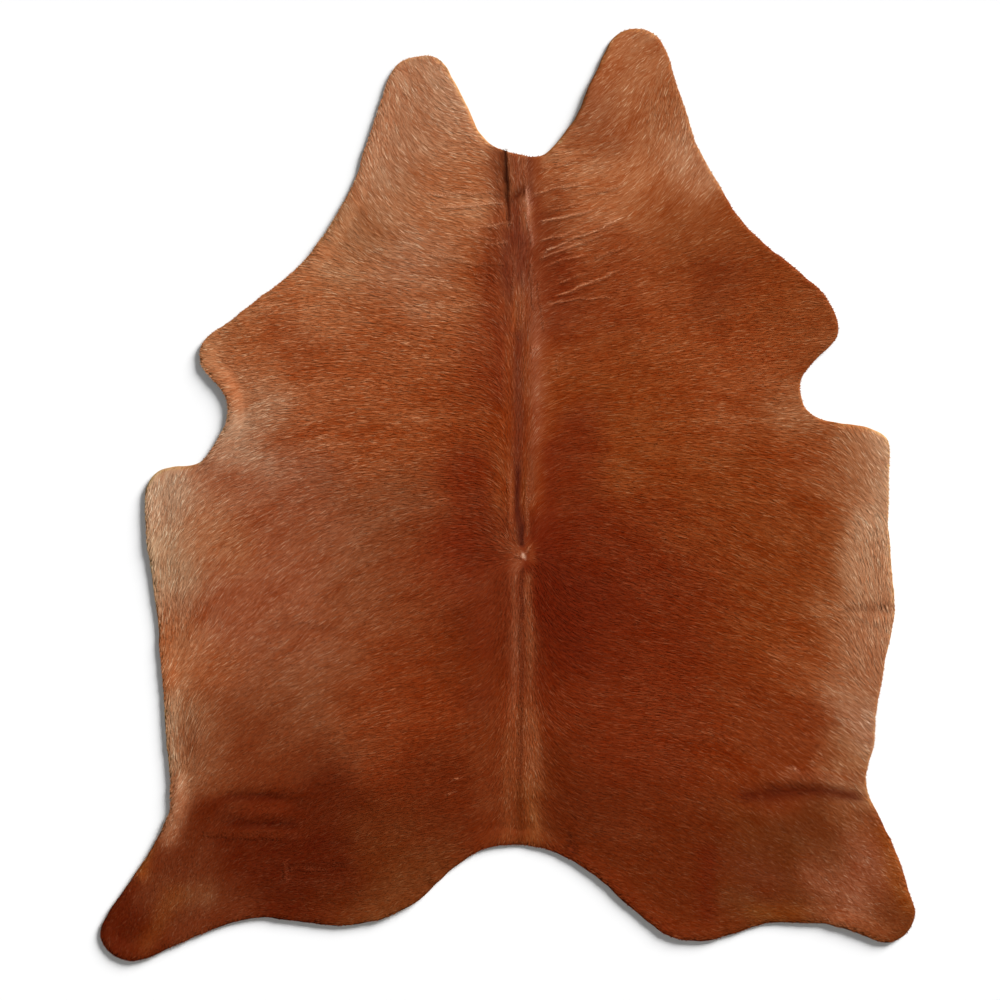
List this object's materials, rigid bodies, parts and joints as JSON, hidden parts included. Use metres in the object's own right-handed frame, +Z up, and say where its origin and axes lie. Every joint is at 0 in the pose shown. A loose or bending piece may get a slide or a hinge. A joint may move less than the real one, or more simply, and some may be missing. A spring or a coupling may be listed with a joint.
{
  "type": "cowhide rug",
  "caption": "Whole tanned cowhide with the hair on, trimmed to its natural outline and laid flat as a floor rug.",
  "frame": {"origin": "on the floor, under the middle of the rug's outline", "axes": "+Y along the backbone towards the neck, +X towards the right side as seen from above with the neck up, +Z up out of the hair"},
  "size_m": [2.0012, 2.2884, 0.0095],
  "materials": {
    "hair_on_hide": "chestnut brown short hair, lying flat, soft sheen"
  },
  "bodies": {
    "root": {"hide": "hair_on_hide"}
  },
  "joints": []
}
